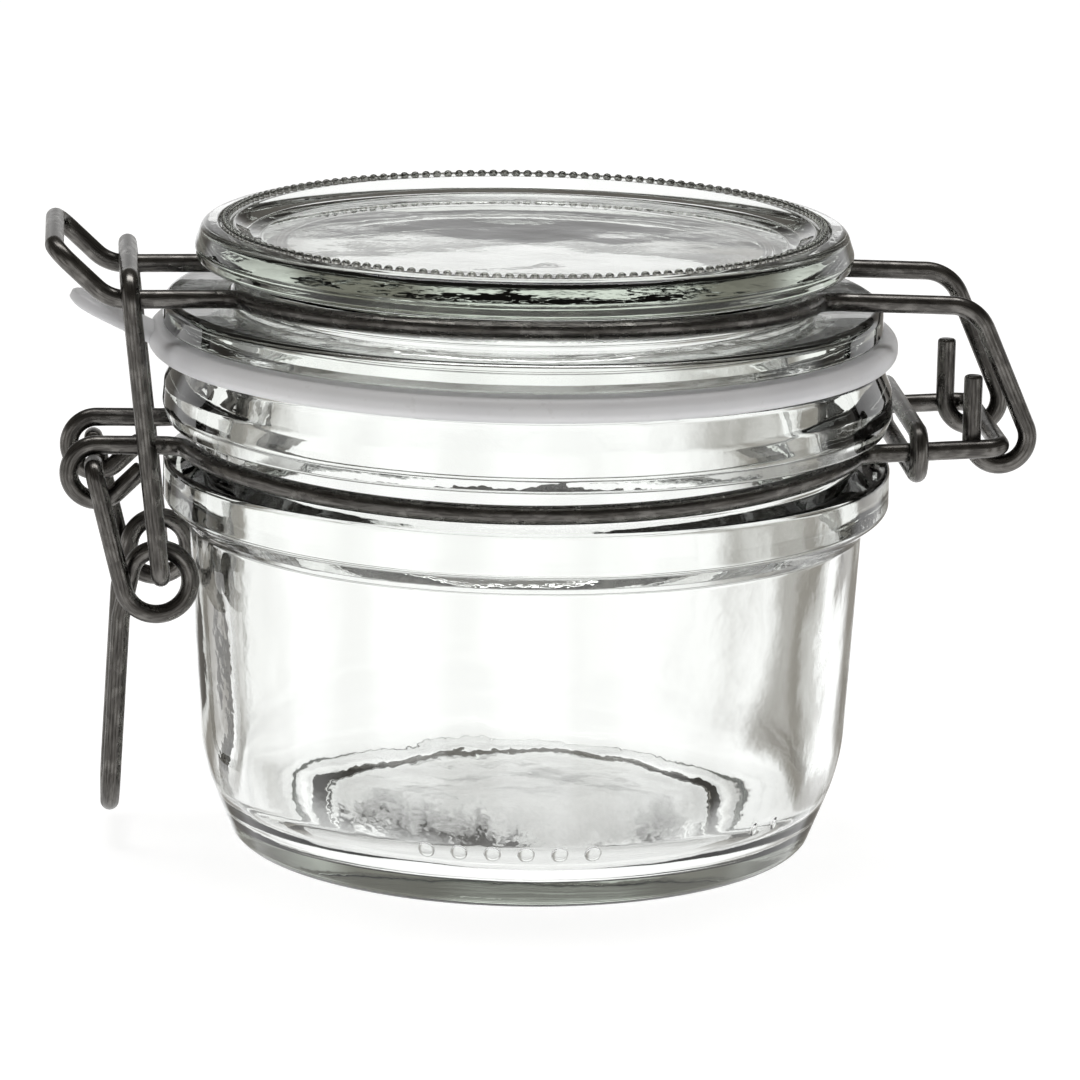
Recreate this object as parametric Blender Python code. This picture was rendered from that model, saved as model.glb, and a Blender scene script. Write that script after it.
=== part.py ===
"""A small clip top jar of pressed glass, empty, shut and locked.

Sizes are in millimetres and turn into metres where a mesh or a curve is made. Places are measured from the
lid's own upright axis and the jar's foot: +X points to the hinge, -X to the clip, +Z up. AXIS_X then sets
it all so that the middle of the whole width, wires included, stands at the origin.
"""

import math

import bmesh
import bpy
from mathutils import Quaternion, Vector

MM = 0.001
SIDES = 60
CHORD_ERROR = 0.07

WIRE = 2.2
CLEAR = 0.3
LAYER = WIRE + CLEAR

# Jar, which stands a little nearer the hinge than the lid that the clip pulls over it
JAR_X = 0.7
FOOT_RADIUS = 34.4
HEEL_RADIUS = 38.4
HEEL_Z = 10.0
BODY_TOP_RADIUS = 40.0
BODY_TOP_Z = 38.4
SHOULDER_RADIUS = 43.1
SHOULDER_LOW_Z = 41.2
SHOULDER_TOP_Z = 46.0
NECK_RADIUS = 38.9
COLLAR_RADIUS = 43.25
COLLAR_LOW_Z = 50.6
MOUTH_Z = 58.6
BORE_RADIUS = 36.5
FLOOR_Z = 3.4
PUSH_UP = 0.8

# Gasket, squeezed between the mouth and the lid
GASKET_RADIUS = 44.3
GASKET_BORE = 37.2
GASKET_THICK = 2.8
TAB_HALF_WIDTH = 4.2
TAB_THICK = 1.8
TAB_BEND_RADIUS = 42.9
TAB_REACH = 53.3
TAB_SLOPE = math.radians(26)

# Lid
LID_LOW_Z = MOUTH_Z + CLEAR + GASKET_THICK + CLEAR
FLANGE_RADIUS = 42.55
FLANGE_TOP_Z = 65.3
PLUG_RADIUS = 34.6
PLUG_DEPTH = 2.0
LID_NECK_RADIUS = 34.2
RIM_LOW_Z = 69.5
RIM_RADIUS = 38.9
RIM_TOP_Z = 74.0
BEAD_RING_RADIUS = 35.25
BEAD_RING_HALF = 0.45
BEAD_RING_TOP_Z = 74.45
RECESS_RADIUS = 32.3
RECESS_Z = 72.2
LID_CAVITY_RADIUS = 30.8
LID_CAVITY_Z = 67.6

# Neck wire, in the groove under the collar
NECK_RING_RADIUS = 41.0
NECK_CLIP_Z = 48.8
NECK_HINGE_Z = 49.3
NECK_SAG = 1.1
EYE_ARM_Y = 8.0
EYE_RADIUS = 3.3
EYE_X = -50.2
EYE_TAIL_HEADING = math.radians(44)
EYE_TAIL = 4.2
HINGE_X = 55.5
HINGE_Z = 50.0
NECK_HINGE_Y = 13.7
NECK_HINGE_BEND = 2.0

# Tie link round both neck arms, close to the glass
TIE_X = 45.4
TIE_Z = 49.5

# Lid wire, in the groove under the rim
LID_RING_RADIUS = 35.8
LID_WIRE_Z = 66.75
LID_WIRE_RISE = 1.25
LID_CLIP_Y = 11.6
HOOK_BEND_X = -48.9
HOOK_BEND = 5.0
HOOK_TIP = (-55.2, 72.7)
HOOK_CORNER = 2.5
LID_HINGE_Y = 11.2
LID_ARM_BEND = 4.7
LEG_HEADING = math.radians(-66.5)
LEG_LENGTH = 15.6
TURN_RADIUS = 3.3
TURN_LIFT = 0.8
STUB_LENGTH = 7.4

# Lever, hung in the two eyes
PIVOT = (EYE_X - 0.4, NECK_CLIP_Z - EYE_RADIUS + 0.7)
LINK_Y = EYE_ARM_Y + LAYER
PIN_END_Y = 6.2
PIN_BEND = 1.5
COIL = (-43.0, 32.95)
COIL_START_RADIUS = 4.2
COIL_END_RADIUS = 3.3
HANDLE_KINK = (-47.4, 28.1)
HANDLE_LOW = (-48.6, 4.8)
HANDLE_CORNER = 4.0

# Lock bail, hung in the two coils and hooked over the lid wire's arms
BAIL_PIN = (COIL[0] + 0.25, COIL[1] + 0.75)
BAIL_LOW_Y = LINK_Y + LAYER + 0.1
BAIL_TOP_Y = LID_CLIP_Y + LAYER + 0.1
BAIL_TOP = (-46.6, 69.3)
BAIL_LOW_BEND = 2.0
BAIL_TOP_BEND = 3.0

WIDEST_CLIP = HOOK_TIP[0] - WIRE / 2
WIDEST_HINGE = HINGE_X + TURN_RADIUS + WIRE / 2
AXIS_X = -(WIDEST_CLIP + WIDEST_HINGE) / 2

FRONT = -1


def clear_scene():
    for obj in list(bpy.data.objects):
        bpy.data.objects.remove(obj)


def make_material(name, colour, roughness, metallic=0.0, transmission=0.0):
    material = bpy.data.materials.new(name)
    material.use_nodes = True
    shader = material.node_tree.nodes["Principled BSDF"]
    shader.inputs["Base Color"].default_value = (*colour, 1)
    shader.inputs["Roughness"].default_value = roughness
    shader.inputs["Metallic"].default_value = metallic
    shader.inputs["Transmission Weight"].default_value = transmission
    return material


def arc_steps(radius, turn):
    """How many straight steps keep an arc within CHORD_ERROR of round."""
    return math.ceil(turn / (2 * math.acos(1 - CHORD_ERROR / radius)))


def bend(before, corner, after, radius):
    """Points of the arc that rounds one corner of a path."""
    arriving = (corner - before).normalized()
    leaving = (after - corner).normalized()
    turn = arriving.angle(leaving)
    start = corner - arriving * radius * math.tan(turn / 2)
    inward = (leaving - arriving).normalized()
    centre = corner + inward * radius / math.cos(turn / 2)
    axis = arriving.cross(leaving).normalized()
    steps = arc_steps(radius, turn)
    return [centre + Quaternion(axis, turn * i / steps) @ (start - centre) for i in range(steps + 1)]


def rounded(corners):
    """A path through corners, each a point with its bend radius, 0 for a plain point."""
    points = [Vector(point) for point, radius in corners]
    path = []
    for i, (point, radius) in enumerate(corners):
        if radius:
            path += bend(points[i - 1], points[i], points[(i + 1) % len(points)], radius)
        else:
            path.append(points[i])
    return path


def arc(centre, radius, start, end, y, end_radius=None, end_y=None):
    """Points round a centre in the XZ plane; radius and y may move evenly from their first value to their last."""
    steps = arc_steps(radius, abs(end - start))
    last_radius = radius if end_radius is None else end_radius
    last_y = y if end_y is None else end_y
    points = []
    for i in range(steps + 1):
        share = i / steps
        angle = start + (end - start) * share
        reach = radius + (last_radius - radius) * share
        x = centre[0] + reach * math.cos(angle)
        z = centre[1] + reach * math.sin(angle)
        points.append(Vector((x, y + (last_y - y) * share, z)))
    return points


def half_ring(radius, clip, hinge, rise, fillet):
    """The front half of a ring round the glass, as path corners from its clip arm to its hinge arm.

    Each arm is a (y, z) pair. The arms pull the ring's two ends, so its middle stands off them by rise.
    """
    first = -math.pi + math.asin(clip[0] / radius)
    last = -math.asin(hinge[0] / radius)
    free = 1.2 * fillet / radius
    steps = arc_steps(radius, last - first - 2 * free)
    angles = [first + free + (last - first - 2 * free) * i / steps for i in range(steps + 1)]

    def point(angle):
        to_hinge = (1 + math.cos(angle)) / 2
        z = clip[1] + (hinge[1] - clip[1]) * to_hinge + rise * math.sin(angle) ** 2
        return (radius * math.cos(angle), radius * math.sin(angle), z)

    return [(point(first), fillet)] + [(point(angle), 0) for angle in angles] + [(point(last), fillet)]


def mirrored(half, shared_end=True):
    """Joins a half path to its mirror image in Y; their shared middle point is kept once."""
    other = [Vector((p.x, -p.y, p.z)) for p in reversed(half)]
    return half + other[1:] if shared_end else other + half[1:]


def outline(corners):
    """A profile of (radius, height, fillet) corners as points in the XZ plane."""
    return rounded([((radius, 0, z), fillet) for radius, z, fillet in corners])


def set_down(obj, at, parent=None):
    """Stands an object at a place given from the jar's axis, under its parent if it has one."""
    place = Vector((AXIS_X + at[0], 0, at[1])) * MM
    obj.parent = parent
    obj.location = place - parent.location if parent else place


def add_object(name, data, material, at, parent=None):
    obj = bpy.data.objects.new(name, data)
    bpy.context.collection.objects.link(obj)
    data.materials.append(material)
    set_down(obj, at, parent)
    return obj


def add_axis(name, at):
    """An empty on a joint's axis, which carries the pieces that turn about it."""
    empty = bpy.data.objects.new(name, None)
    bpy.context.collection.objects.link(empty)
    empty.empty_display_size = 10 * MM
    set_down(empty, at)
    return empty


def add_wire(name, path, material, at=(0, 0), parent=None, closed=False):
    """A round wire along a path, with its origin at a place in the XZ plane."""
    curve = bpy.data.curves.new(name, "CURVE")
    curve.dimensions = "3D"
    curve.bevel_depth = WIRE / 2 * MM
    curve.bevel_resolution = 2
    curve.use_fill_caps = not closed
    spline = curve.splines.new("POLY")
    spline.points.add(len(path) - 1)
    origin = Vector((at[0], 0, at[1]))
    for point, place in zip(spline.points, path):
        point.co = (*((place - origin) * MM), 1)
    spline.use_cyclic_u = closed
    return add_object(name, curve, material, at, parent)


def add_turned(name, profile, material, at=(0, 0), parent=None, closed=False):
    """A body of revolution from a profile that runs down its outer side."""
    mesh = bpy.data.meshes.new(name)
    points = [tuple(point * MM) for point in profile]
    edges = [(i, i + 1) for i in range(len(points) - 1)]
    if closed:
        edges.append((len(points) - 1, 0))
    mesh.from_pydata(points, edges, [])
    obj = add_object(name, mesh, material, at, parent)
    screw = obj.modifiers.new("turn", "SCREW")
    screw.steps = SIDES
    screw.render_steps = SIDES
    screw.use_merge_vertices = True
    screw.merge_threshold = 0.00001
    screw.use_smooth_shade = True
    return obj


def jar_profile():
    """From the middle of the floor up the bore, over the mouth and down the outside to the foot."""
    return outline([
        (0, FLOOR_Z - 0.4, 0),
        (BORE_RADIUS - 1.9, FLOOR_Z, 5),
        (BORE_RADIUS, BODY_TOP_Z, 0),
        (BORE_RADIUS, MOUTH_Z, 0.8),
        (COLLAR_RADIUS - 1.7, MOUTH_Z, 1.0),
        (COLLAR_RADIUS - 0.2, MOUTH_Z - 3.4, 0),
        (COLLAR_RADIUS, MOUTH_Z - 6.0, 0),
        (COLLAR_RADIUS - 0.7, COLLAR_LOW_Z, 0),
        (NECK_RADIUS, COLLAR_LOW_Z, 0),
        (NECK_RADIUS, SHOULDER_TOP_Z + 0.6, 0),
        (SHOULDER_RADIUS, SHOULDER_TOP_Z, 0.5),
        (SHOULDER_RADIUS, SHOULDER_LOW_Z, 1.2),
        (SHOULDER_RADIUS - 2.3, BODY_TOP_Z + 0.9, 0),
        (BODY_TOP_RADIUS, BODY_TOP_Z, 0),
        (HEEL_RADIUS, HEEL_Z, 25),
        (FOOT_RADIUS, 0, 2.0),
        (FOOT_RADIUS - 6.2, 0, 0),
        (FOOT_RADIUS - 7.4, PUSH_UP, 0),
        (0, PUSH_UP, 0),
    ])


def lid_profile():
    """From the middle of the recess over the beaded rim, down past the flange and up into the hollow below."""
    return outline([
        (0, RECESS_Z - 0.3, 0),
        (RECESS_RADIUS - 1.4, RECESS_Z, 0),
        (RECESS_RADIUS, RECESS_Z + 0.4, 0),
        (BEAD_RING_RADIUS - BEAD_RING_HALF, RIM_TOP_Z, 0),
        (BEAD_RING_RADIUS - BEAD_RING_HALF / 2, BEAD_RING_TOP_Z, 0),
        (BEAD_RING_RADIUS + BEAD_RING_HALF / 2, BEAD_RING_TOP_Z, 0),
        (BEAD_RING_RADIUS + BEAD_RING_HALF, RIM_TOP_Z, 0),
        (RIM_RADIUS - 1.3, RIM_TOP_Z - 0.3, 1.0),
        (RIM_RADIUS, RIM_LOW_Z + 1.3, 0.8),
        (RIM_RADIUS - 0.7, RIM_LOW_Z, 0),
        (LID_NECK_RADIUS, RIM_LOW_Z, 0),
        (LID_NECK_RADIUS, FLANGE_TOP_Z, 0),
        (FLANGE_RADIUS - 0.1, FLANGE_TOP_Z, 1.1),
        (FLANGE_RADIUS, LID_LOW_Z, 0),
        (PLUG_RADIUS, LID_LOW_Z, 0),
        (PLUG_RADIUS, LID_LOW_Z - PLUG_DEPTH, 0),
        (LID_CAVITY_RADIUS, LID_LOW_Z - PLUG_DEPTH, 0),
        (LID_CAVITY_RADIUS - 1.2, LID_CAVITY_Z, 2.0),
        (0, LID_CAVITY_Z + 0.6, 0),
    ])


def gasket_profile():
    """A flat ring section with its outer edge rounded over."""
    low = MOUTH_Z + CLEAR
    high = low + GASKET_THICK
    return outline([
        (GASKET_BORE, high, 0),
        (GASKET_RADIUS, high, 1.2),
        (GASKET_RADIUS, low, 1.2),
        (GASKET_BORE, low, 0),
    ])


def tab_mesh():
    """The pull tab: a tongue that leaves the gasket level towards the clip, then bends up to a round end."""
    middle_z = MOUTH_Z + CLEAR + GASKET_THICK / 2
    round_from = TAB_REACH - TAB_HALF_WIDTH
    stations = [(TAB_BEND_RADIUS - 2, 0, TAB_HALF_WIDTH), (TAB_BEND_RADIUS, TAB_SLOPE / 2, TAB_HALF_WIDTH)]
    for i in range(6):
        turn = math.radians(15) * i
        reach = round_from + TAB_HALF_WIDTH * math.sin(turn)
        stations.append((reach, TAB_SLOPE, TAB_HALF_WIDTH * math.cos(turn)))
    shape = bmesh.new()
    loops = []
    for reach, slope, half in stations:
        rise = max(0, reach - TAB_BEND_RADIUS) * math.tan(TAB_SLOPE)
        middle = Vector((-reach, 0, middle_z + rise))
        up = Vector((math.sin(slope), 0, math.cos(slope))) * TAB_THICK / 2
        out = Vector((0, half, 0))
        corners = (middle - up - out, middle - up + out, middle + up + out, middle + up - out)
        loops.append([shape.verts.new(corner * MM) for corner in corners])
    for near, far in zip(loops, loops[1:]):
        for i in range(4):
            shape.faces.new((near[i], near[(i + 1) % 4], far[(i + 1) % 4], far[i]))
    shape.faces.new(loops[0])
    shape.faces.new(loops[-1])
    bmesh.ops.recalc_face_normals(shape, faces=shape.faces)
    mesh = bpy.data.meshes.new("gasket_tab")
    shape.to_mesh(mesh)
    shape.free()
    return mesh


def add_gasket(material):
    ring = add_turned("gasket", gasket_profile(), material, closed=True)
    tab = add_object("gasket_tab", tab_mesh(), material, (0, 0))
    tab.hide_render = True
    tab.display_type = "WIRE"
    join = ring.modifiers.new("tab", "BOOLEAN")
    join.operation = "UNION"
    join.object = tab
    return ring


def neck_wire_path():
    """From the front eye's free end, round the eye, along the groove and out to the hinge bar."""
    y = FRONT * EYE_ARM_Y
    eye = (EYE_X, NECK_CLIP_Z - EYE_RADIUS)
    quarter = math.pi / 2
    curl = arc(eye, EYE_RADIUS, 3 * quarter + EYE_TAIL_HEADING, quarter, y)
    tail = Vector((math.cos(EYE_TAIL_HEADING), 0, math.sin(EYE_TAIL_HEADING))) * EYE_TAIL
    corners = [(curl[0] + tail, 0)] + [(point, 0) for point in curl]
    corners += half_ring(NECK_RING_RADIUS, (EYE_ARM_Y, NECK_CLIP_Z), (NECK_HINGE_Y, NECK_HINGE_Z), -NECK_SAG, 3.5)
    corners.append(((HINGE_X, FRONT * NECK_HINGE_Y, HINGE_Z), NECK_HINGE_BEND))
    corners.append(((HINGE_X, 0, HINGE_Z), 0))
    return mirrored(rounded(corners))


def tie_link_path():
    """A long oval round the two neck arms: half a turn over each arm and two straight strands."""
    steps = 8
    path = []
    for side in (FRONT, -FRONT):
        for i in range(steps + 1):
            angle = math.pi * (0.5 - i / steps)
            out = math.cos(angle) * LAYER
            path.append(Vector((TIE_X, side * (NECK_HINGE_Y + out), TIE_Z - side * math.sin(angle) * LAYER)))
        path.append(Vector((TIE_X, 0, path[-1].z)))
    return path


def lid_wire_path():
    """From the middle of the hook's bar along the front arm, round the lid, and down to the hinge's free end."""
    clip_y = FRONT * LID_CLIP_Y
    hinge_y = FRONT * LID_HINGE_Y
    corners = [((HOOK_TIP[0], 0, HOOK_TIP[1]), 0)]
    corners.append(((HOOK_TIP[0], clip_y, HOOK_TIP[1]), HOOK_CORNER))
    corners.append(((HOOK_BEND_X, clip_y, LID_WIRE_Z), HOOK_BEND))
    corners += half_ring(LID_RING_RADIUS, (LID_CLIP_Y, LID_WIRE_Z), (LID_HINGE_Y, LID_WIRE_Z), LID_WIRE_RISE, 3.5)
    turn = arc((HINGE_X, HINGE_Z + TURN_LIFT), TURN_RADIUS, LEG_HEADING + math.pi / 2, -math.pi, hinge_y)
    leg = Vector((math.cos(LEG_HEADING), 0, math.sin(LEG_HEADING))) * LEG_LENGTH
    corners.append((turn[0] - leg, LID_ARM_BEND))
    corners += [(point, 0) for point in turn]
    corners.append((turn[-1] + Vector((0, 0, STUB_LENGTH)), 0))
    return mirrored(rounded(corners), shared_end=False)


def lever_path():
    """From the front pin in its eye, down the link, once round the coil and down the handle to its cross bar."""
    outer_y = FRONT * LINK_Y
    inner_y = FRONT * EYE_ARM_Y
    coil = Vector(COIL)
    from_pivot = coil - Vector(PIVOT)
    to_kink = Vector(HANDLE_KINK) - coil
    start = math.atan2(from_pivot.y, from_pivot.x) + 1.5 * math.pi
    start -= math.asin(COIL_START_RADIUS / from_pivot.length)
    end = math.atan2(to_kink.y, to_kink.x) + 4 * math.pi
    end -= math.acos(COIL_END_RADIUS / to_kink.length)
    corners = [((PIVOT[0], FRONT * PIN_END_Y, PIVOT[1]), 0), ((PIVOT[0], outer_y, PIVOT[1]), PIN_BEND)]
    corners += [(point, 0) for point in arc(COIL, COIL_START_RADIUS, start, end, outer_y, COIL_END_RADIUS, inner_y)]
    corners.append(((HANDLE_KINK[0], inner_y, HANDLE_KINK[1]), HANDLE_CORNER))
    corners.append(((HANDLE_LOW[0], inner_y, HANDLE_LOW[1]), HANDLE_CORNER))
    corners.append(((HANDLE_LOW[0], 0, HANDLE_LOW[1]), 0))
    return mirrored(rounded(corners))


def bail_path():
    """From the front pin in its coil up the leg to the middle of the bar that hooks over the lid wire."""
    corners = [
        ((BAIL_PIN[0], FRONT * PIN_END_Y, BAIL_PIN[1]), 0),
        ((BAIL_PIN[0], FRONT * BAIL_LOW_Y, BAIL_PIN[1]), BAIL_LOW_BEND),
        ((BAIL_TOP[0], FRONT * BAIL_TOP_Y, BAIL_TOP[1]), BAIL_TOP_BEND),
        ((BAIL_TOP[0], 0, BAIL_TOP[1]), 0),
    ]
    return mirrored(rounded(corners))


def main():
    clear_scene()
    glass = make_material("clear_glass", (0.93, 0.95, 0.94), 0.03, transmission=1.0)
    rubber = make_material("milky_rubber", (0.78, 0.78, 0.80), 0.45)
    steel = make_material("grey_steel", (0.20, 0.19, 0.18), 0.35, metallic=1.0)

    add_turned("glass_jar", jar_profile(), glass, (JAR_X, 0))
    add_gasket(rubber)
    add_wire("neck_wire", neck_wire_path(), steel)
    add_wire("tie_link", tie_link_path(), steel, (TIE_X, TIE_Z), closed=True)

    hinge = add_axis("hinge_axis", (HINGE_X, HINGE_Z))
    add_turned("glass_lid", lid_profile(), glass, (0, 0), hinge)
    add_wire("lid_wire", lid_wire_path(), steel, (HINGE_X, HINGE_Z), hinge)

    pivot = add_axis("pivot_axis", PIVOT)
    add_wire("lever", lever_path(), steel, PIVOT, pivot)
    add_wire("lock_bail", bail_path(), steel, BAIL_PIN, pivot)


main()
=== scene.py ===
"""The clip top jar dressed for a picture: clear pressed glass, a milky ring and dark drawn wire.

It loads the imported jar, builds finer pieces over its solids and stands them in a pale studio. Sizes in the
paths below are in millimetres from the lid's own upright axis and the jar's foot: +X points to the hinge,
-X to the clip, +Z up.
"""

import math

import bmesh
import bpy
from mathutils import Matrix, Quaternion, Vector, noise


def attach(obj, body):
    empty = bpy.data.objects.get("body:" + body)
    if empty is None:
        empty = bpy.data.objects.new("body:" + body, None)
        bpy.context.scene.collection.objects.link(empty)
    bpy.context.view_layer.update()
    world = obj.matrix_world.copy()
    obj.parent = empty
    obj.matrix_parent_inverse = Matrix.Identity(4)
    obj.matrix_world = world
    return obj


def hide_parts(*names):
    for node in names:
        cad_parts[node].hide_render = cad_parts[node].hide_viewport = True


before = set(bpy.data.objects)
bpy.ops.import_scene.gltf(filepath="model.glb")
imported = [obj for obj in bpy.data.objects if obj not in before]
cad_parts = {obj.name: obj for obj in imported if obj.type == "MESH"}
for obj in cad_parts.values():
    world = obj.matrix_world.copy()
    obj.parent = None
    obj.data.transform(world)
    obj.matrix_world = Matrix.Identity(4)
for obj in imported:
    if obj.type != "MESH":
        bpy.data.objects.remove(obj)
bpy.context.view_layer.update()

bl_info = {
    "name": "Clip Top Jar",
    "version": (1, 0, 0),
    "blender": (4, 5, 0),
    "location": "3D View > Sidebar > Clip Jar",
    "description": "Builds a glass jar with a wire clip, its milky ring and a pale studio",
    "category": "Object",
}

MM = 0.001
FRONT = -1
CLEAR = 0.3
WHITE = (1, 1, 1, 1)
DUST_COLOUR = (0.62, 0.61, 0.6, 1)

# How finely curves are cut
CHORD_ERROR = 0.0012
CORNER_GAP = 0.12
PROFILE_STEP = 1.2
JAR_PROFILE_STEP = 2.2
MERGE_GAP = 0.0005
GASKET_STEPS = 200
TAB_ROUND = 20
TIE_STEPS = 20

# Where the solids stand
AXIS_X = -1.8
JAR_X = 0.7

# Jar
FOOT_RADIUS = 34.4
HEEL_RADIUS = 38.4
HEEL_Z = 10.0
BODY_TOP_RADIUS = 40.0
BODY_TOP_Z = 38.4
SHOULDER_RADIUS = 43.1
SHOULDER_LOW_Z = 41.2
SHOULDER_TOP_Z = 46.0
NECK_RADIUS = 38.9
COLLAR_RADIUS = 43.25
COLLAR_LOW_Z = 50.6
MOUTH_Z = 58.6
BORE_RADIUS = 36.5
FLOOR_Z = 3.4
PUSH_UP = 0.8

# Gasket
GASKET_RADIUS = 44.3
GASKET_BORE = 37.2
GASKET_THICK = 2.8
TAB_HALF_WIDTH = 4.2
TAB_HALF_THICK = 0.9
TAB_BEND_RADIUS = 42.9
TAB_REACH = 53.3
TAB_SLOPE = math.radians(26)
TAB_ROOT = 2.5
TAB_STEP = 0.45
TAB_STEPS = 19
TAB_END_STEPS = 12
TAB_END_TURN = math.radians(7.8)
TAB_END_THINNING = 0.55
TAB_EASE = 1.2

# Lid
LID_LOW_Z = 62.0
FLANGE_RADIUS = 42.55
FLANGE_TOP_Z = 65.3
PLUG_RADIUS = 34.6
PLUG_DEPTH = 2.0
LID_NECK_RADIUS = 34.2
RIM_LOW_Z = 69.5
RIM_RADIUS = 38.9
RIM_TOP_Z = 74.0
RECESS_RADIUS = 32.3
RECESS_Z = 72.2
LID_CAVITY_RADIUS = 30.8
LID_CAVITY_Z = 67.6
BEAD_RING_RADIUS = 35.25
BEAD_RING_TOP_Z = 74.45

# Glass, and how often light may pass through it or turn back inside it
GLASS_IOR = 1.5
GLASS_BOUNCES = 16

# Roll of the pressed glass: how quickly its waves change, where they start and how strong they are
WIDE_ROLL = 0.055
WIDE_SHIFT = (3.1, 7.7, 1.9)
TALL_ROLL = 0.14
TALL_ROLL_UP = 0.05
TALL_SHIFT = (11.3, 2.4, 5.2)
TALL_SHARE = 0.5
FLOOR_SHARE = 0.25

# Beads, and dots at the heel as (name, count, height, start and step in degrees, width, tallness)
BEAD_GAP = 0.02
BEAD_SEAT_Z = 73.5
BEAD_SEGMENTS = 8
BEAD_RINGS = 5
DOT_DEPTH = 0.3
DOT_SEGMENTS = 24
DOT_RINGS = 12
HEEL_DOTS = (
    ("heel_dots", 6, 7.4, -110.8, 5.9, 2.0, 2.0),
    ("heel_marks", 2, 7.7, -48.0, 5.6, 1.1, 1.7),
)

# Every wire; its dressed end as steps back from the tip and their share of its thickness
RING_FILLET = 3.5
WIRE_END = ((0.32, 1.0), (0.14, 0.94), (0.03, 0.80), (0.0, 0.62))

# Neck wire
NECK_RING_RADIUS = 41.0
NECK_CLIP_Z = 48.8
NECK_HINGE_Z = 49.3
NECK_SAG = 1.1
EYE_ARM_Y = 8.0
EYE_RADIUS = 3.3
EYE_X = -50.2
EYE_TAIL_HEADING = math.radians(44)
EYE_TAIL = 4.2
HINGE_X = 55.5
HINGE_Z = 50.0
NECK_HINGE_Y = 13.7
NECK_HINGE_BEND = 2.0

# Tie link
TIE_X = 45.4
TIE_Z = 49.5
TIE_REACH = 2.5

# Lid wire
LID_RING_RADIUS = 35.8
LID_WIRE_Z = 66.75
LID_WIRE_RISE = 1.25
LID_CLIP_Y = 11.6
HOOK_BEND_X = -48.9
HOOK_BEND = 5.0
HOOK_TIP = (-55.2, 72.7)
HOOK_CORNER = 2.5
LID_HINGE_Y = 11.2
LID_ARM_BEND = 4.7
LEG_HEADING = math.radians(-66.5)
LEG_LENGTH = 15.6
TURN_RADIUS = 3.3
TURN_LIFT = 0.8
STUB_LENGTH = 7.4

# Lever
PIVOT = (-50.6, 46.2)
LINK_Y = 10.5
PIN_END_Y = 6.2
PIN_BEND = 1.5
COIL = (-43.0, 32.95)
COIL_START_RADIUS = 4.2
COIL_END_RADIUS = 3.3
HANDLE_KINK = (-47.4, 28.1)
HANDLE_LOW = (-48.6, 4.8)
HANDLE_CORNER = 4.0

# Lock bail
BAIL_PIN = (-42.75, 33.7)
BAIL_LOW_Y = 13.1
BAIL_TOP_Y = 14.2
BAIL_TOP = (-46.6, 69.3)
BAIL_LOW_BEND = 2.0
BAIL_TOP_BEND = 3.0

# Table and light, in metres
TABLE_RADIUS = 1.2
TABLE_SIDES = 96
TABLE_DROP = 0.02 * MM
TABLE_COLOUR = (0.55, 0.55, 0.55, 1)
PANEL_COUNT = 8
PANEL_EDGE = (-0.8, 0.35)
CEILING_EDGE = (0.08, 0.34)
SWEEP_EDGE = (-0.62, -0.36)
TOP_LIGHT_WIDTH = 0.9
TOP_LIGHT_DEPTH = 0.35
TOP_LIGHT_POWER = 4.0
TOP_LIGHT_PLACE = (0, 0.15, 1.0)
TOP_LIGHT_TILT = math.radians(-8)

# Camera, in metres, and its sensor in millimetres
SENSOR_WIDTH = 36
CAMERA_NEAR = 0.05
CAMERA_FAR = 20
CAMERA_PLACE = (-0.05424, -0.69804, 0.19650)
CAMERA_RIGHT = (0.99706957, -0.07401435, 0.01934311)
CAMERA_UP = (-0.00222494, 0.22468689, 0.97442847)
CAMERA_FORWARD = (0.07646784, 0.97161601, -0.22386379)


class Signal:
    """A node's output with number maths: 1 - mask adds the Math node that works it out."""

    def __init__(self, tree, socket):
        self.tree = tree
        self.socket = socket

    def maths(self, operation, first, second):
        return self.tree.node("ShaderNodeMath", {"operation": operation}, {0: first, 1: second})

    def __add__(self, other):
        return self.maths("ADD", self, other)

    def __radd__(self, other):
        return self.maths("ADD", other, self)

    def __sub__(self, other):
        return self.maths("SUBTRACT", self, other)

    def __rsub__(self, other):
        return self.maths("SUBTRACT", other, self)

    def __mul__(self, other):
        return self.maths("MULTIPLY", self, other)

    def __rmul__(self, other):
        return self.maths("MULTIPLY", other, self)


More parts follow.
